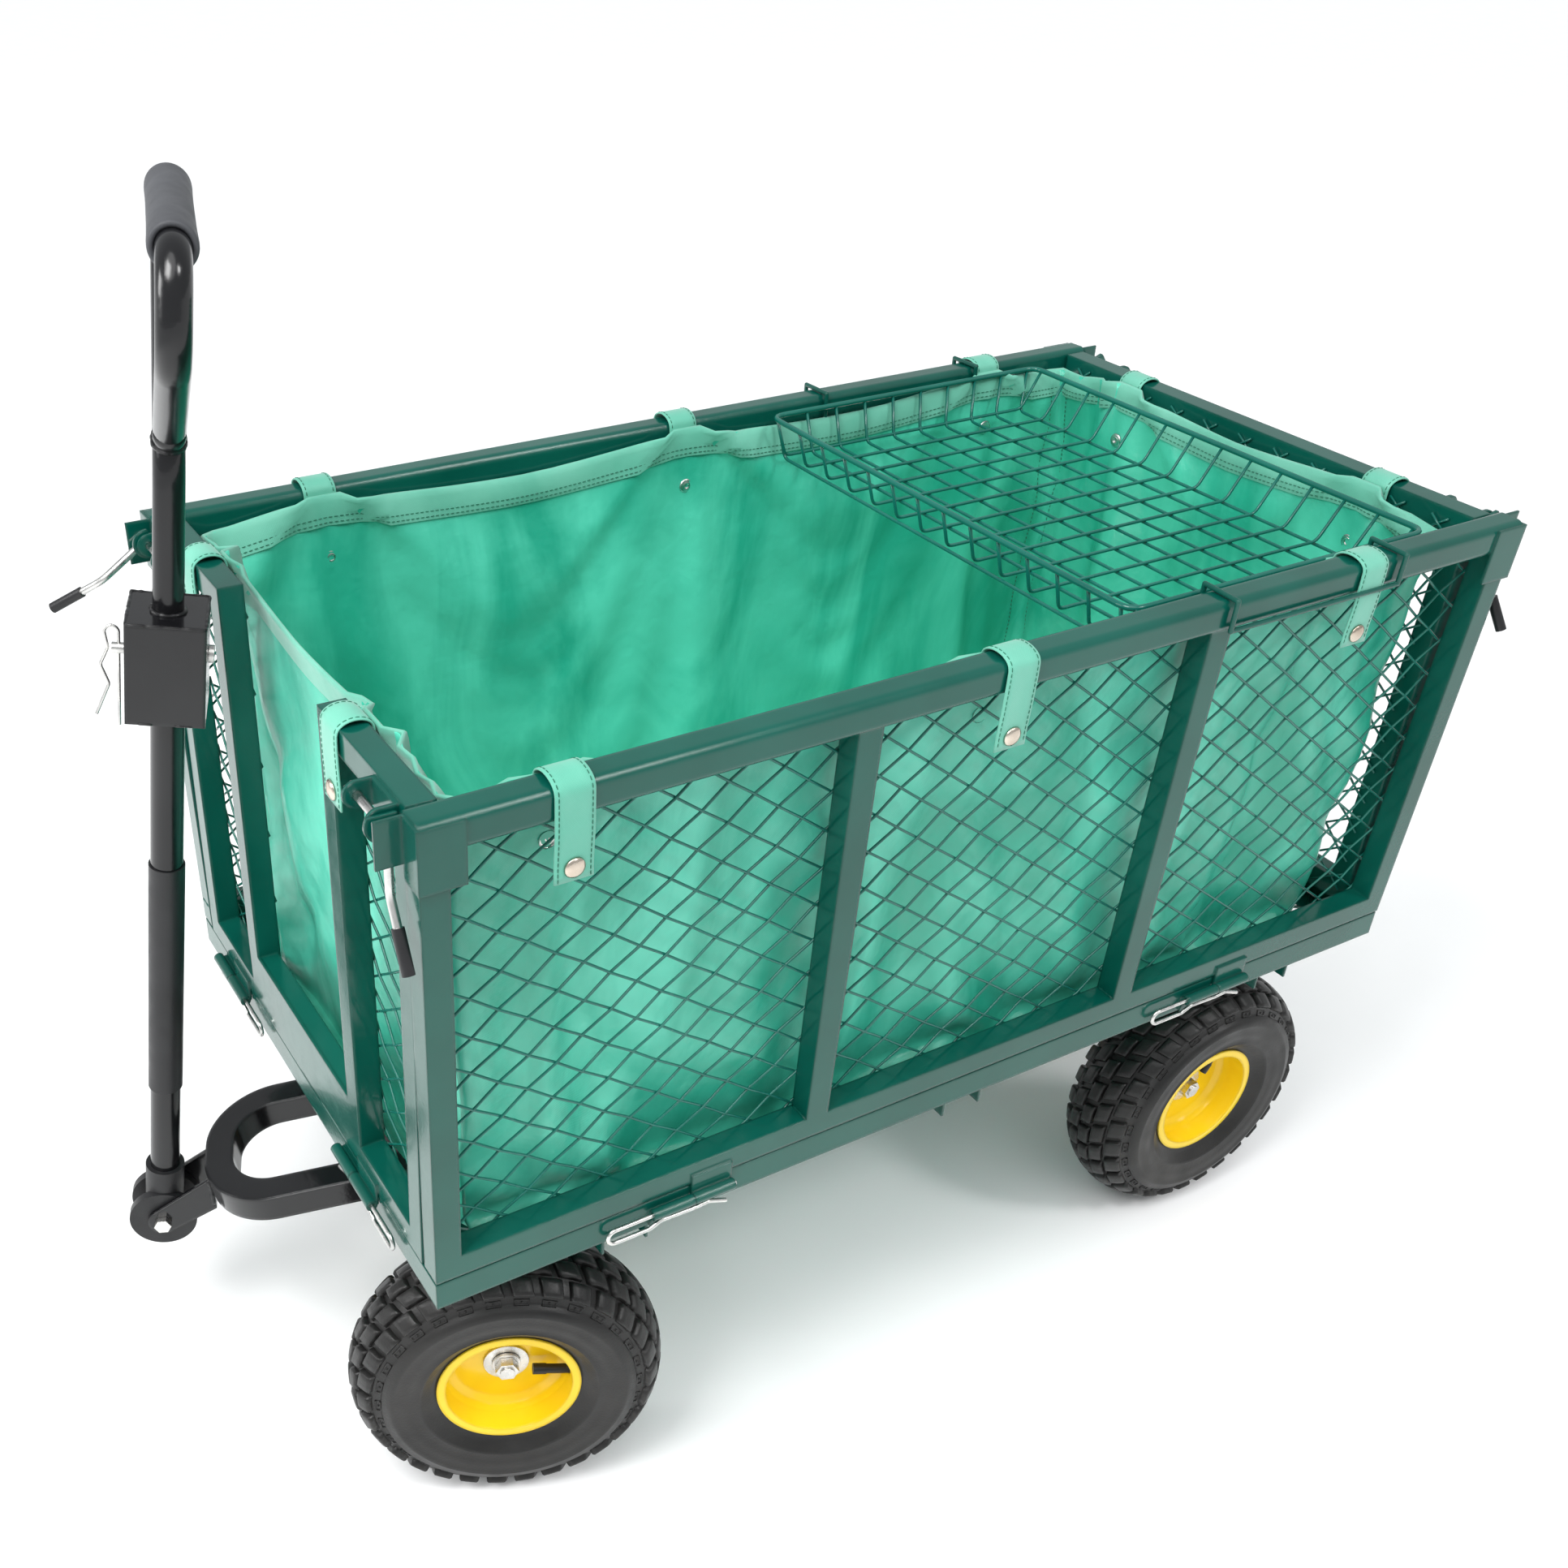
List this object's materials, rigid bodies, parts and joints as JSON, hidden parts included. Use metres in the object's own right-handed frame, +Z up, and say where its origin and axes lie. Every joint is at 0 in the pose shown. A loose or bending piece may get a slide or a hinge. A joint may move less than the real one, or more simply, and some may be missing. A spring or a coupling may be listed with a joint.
{
  "type": "garden cart",
  "caption": "Four-wheel steel mesh garden cart with fold-down sides, a fabric liner bag, a hanging wire basket and a steerable pull handle with a foam grip.",
  "frame": {"origin": "on the ground, in the middle of the whole cart's length and width (bottom centre of the bounding box)", "axes": "+X the way the cart is pulled, +Y its left side, +Z up"},
  "size_m": [1.1509, 0.5426, 1.0134],
  "materials": {
    "dark_green_paint": "gloss powder coat",
    "black_paint": "gloss powder coat",
    "yellow_paint": "gloss paint",
    "zinc_plate": "bright zinc plate",
    "black_plastic": "satin moulded plastic",
    "foam_rubber": "matte foam",
    "liner_fabric": "coated woven fabric, semi-gloss",
    "tyre_rubber": "matte black rubber",
    "tube_rubber": "black rubber"
  },
  "bodies": {
    "bed": {"bed_tray": "dark_green_paint", "bed_floor_mesh": "dark_green_paint", "bed_cross_members": "dark_green_paint", "kingpin_bolt": "zinc_plate", "rear_axle_brackets": "dark_green_paint", "rear_axle_rod": "zinc_plate", "rear_axle_nuts": "zinc_plate", "liner_bag": "liner_fabric"},
    "front_axle": {"front_axle_beam": "dark_green_paint", "front_axle_rod": "zinc_plate", "front_axle_nuts": "zinc_plate", "drawbar_yoke": "black_paint", "yoke_bolt": "zinc_plate"},
    "handle": {"pivot_hub": "black_plastic", "lower_pole": "black_paint", "pole_sleeve": "black_plastic", "coupler_box": "black_paint", "coupler_pin": "zinc_plate", "upper_handle_tube": "black_paint", "handle_grip": "foam_rubber"},
    "clip": {"coupler_clip": "zinc_plate"},
    "basket": {"hanging_basket": "dark_green_paint"},
    "front_left_wheel": {"front_left_tyre": "tyre_rubber", "front_left_inner_tube": "tube_rubber", "front_left_rim": "yellow_paint", "front_left_hub": "zinc_plate"},
    "front_right_wheel": {"front_right_tyre": "tyre_rubber", "front_right_inner_tube": "tube_rubber", "front_right_rim": "yellow_paint", "front_right_hub": "zinc_plate"},
    "rear_left_wheel": {"rear_left_tyre": "tyre_rubber", "rear_left_inner_tube": "tube_rubber", "rear_left_rim": "yellow_paint", "rear_left_hub": "zinc_plate"},
    "rear_right_wheel": {"rear_right_tyre": "tyre_rubber", "rear_right_inner_tube": "tube_rubber", "rear_right_rim": "yellow_paint", "rear_right_hub": "zinc_plate"},
    "left_side": {"left_side_frame": "dark_green_paint", "left_side_mesh": "dark_green_paint", "left_straps": "liner_fabric", "left_basket_hanger": "dark_green_paint"},
    "right_side": {"right_side_frame": "dark_green_paint", "right_side_mesh": "dark_green_paint", "right_straps": "liner_fabric", "right_basket_hanger": "dark_green_paint"},
    "front_panel": {"front_panel_frame": "dark_green_paint", "front_panel_mesh": "dark_green_paint", "front_straps": "liner_fabric"},
    "rear_panel": {"rear_panel_frame": "dark_green_paint", "rear_panel_mesh": "dark_green_paint", "rear_straps": "liner_fabric"},
    "left_pins": {"left_hinge_pins": "zinc_plate"},
    "right_pins": {"right_hinge_pins": "zinc_plate"},
    "front_pins": {"front_hinge_pins": "zinc_plate"},
    "rear_pins": {"rear_hinge_pins": "zinc_plate"},
    "front_left_latch": {"front_left_latch_lever": "zinc_plate"},
    "front_right_latch": {"front_right_latch_lever": "zinc_plate"},
    "rear_left_latch": {"rear_left_latch_lever": "zinc_plate"},
    "rear_right_latch": {"rear_right_latch_lever": "zinc_plate"}
  },
  "joints": [
    {"name": "steering", "type": "hinge", "parent": "bed", "child": "front_axle", "pos_m": [0.2748, 0, 0.262], "axis": [0, 0, 1], "range_deg": [-1, 44]},
    {"name": "handle_tilt", "type": "hinge", "parent": "front_axle", "child": "handle", "pos_m": [0.54219, -0.10425, 0.159], "axis": [0.3633, 0.9317, 0], "range_deg": [0, 105]},
    {"name": "clip_pull", "type": "slide", "parent": "handle", "child": "clip", "axis": [-0.1232, 0.048, 0.9912], "range_m": [0, 0.085]},
    {"name": "front_left_wheel_spin", "type": "hinge", "parent": "front_axle", "child": "front_left_wheel", "pos_m": [0.34164, 0.17143, 0.13], "axis": [0.3633, 0.9317, 0], "continuous": true},
    {"name": "front_right_wheel_spin", "type": "hinge", "parent": "front_axle", "child": "front_right_wheel", "pos_m": [0.20796, -0.17143, 0.13], "axis": [0.3633, 0.9317, 0], "continuous": true},
    {"name": "rear_left_wheel_spin", "type": "hinge", "parent": "bed", "child": "rear_left_wheel", "pos_m": [-0.4122, 0.184, 0.13], "axis": [0, 1, 0], "continuous": true},
    {"name": "rear_right_wheel_spin", "type": "hinge", "parent": "bed", "child": "rear_right_wheel", "pos_m": [-0.4122, -0.184, 0.13], "axis": [0, 1, 0], "continuous": true},
    {"name": "left_side_fold", "type": "hinge", "parent": "bed", "child": "left_side", "pos_m": [-0.0492, 0.258, 0.334], "axis": [-1, 0, 0], "range_deg": [0, 140]},
    {"name": "right_side_fold", "type": "hinge", "parent": "bed", "child": "right_side", "pos_m": [-0.0492, -0.258, 0.334], "axis": [1, 0, 0], "range_deg": [0, 140]},
    {"name": "front_panel_fold", "type": "hinge", "parent": "bed", "child": "front_panel", "pos_m": [0.4388, 0, 0.334], "axis": [0, 1, 0], "range_deg": [0, 0.6]},
    {"name": "rear_panel_fold", "type": "hinge", "parent": "bed", "child": "rear_panel", "pos_m": [-0.5372, 0, 0.334], "axis": [0, -1, 0], "range_deg": [0, 140]},
    {"name": "left_pins_pull", "type": "slide", "parent": "bed", "child": "left_pins", "axis": [1, 0, 0], "range_m": [0, 0.08]},
    {"name": "right_pins_pull", "type": "slide", "parent": "bed", "child": "right_pins", "axis": [-1, 0, 0], "range_m": [0, 0.08]},
    {"name": "front_pins_pull", "type": "slide", "parent": "bed", "child": "front_pins", "axis": [0, 1, 0], "range_m": [0, 0.08]},
    {"name": "rear_pins_pull", "type": "slide", "parent": "bed", "child": "rear_pins", "axis": [0, 1, 0], "range_m": [0, 0.08]},
    {"name": "front_left_latch_turn", "type": "hinge", "parent": "front_panel", "child": "front_left_latch", "pos_m": [0.4408, 0.209, 0.71905], "axis": [0, -1, 0], "range_deg": [0, 150]},
    {"name": "front_right_latch_turn", "type": "hinge", "parent": "front_panel", "child": "front_right_latch", "pos_m": [0.4408, -0.209, 0.71905], "axis": [0, -1, 0], "range_deg": [-55, 95]},
    {"name": "rear_left_latch_turn", "type": "hinge", "parent": "rear_panel", "child": "rear_left_latch", "pos_m": [-0.5392, 0.209, 0.71905], "axis": [0, 1, 0], "range_deg": [-12, 138]},
    {"name": "rear_right_latch_turn", "type": "hinge", "parent": "rear_panel", "child": "rear_right_latch", "pos_m": [-0.5392, -0.209, 0.71905], "axis": [0, 1, 0], "range_deg": [-20, 130]},
    {"name": "basket_lift", "type": "slide", "parent": "bed", "child": "basket", "axis": [0, 0, 1], "range_m": [0, 0.12]}
  ]
}
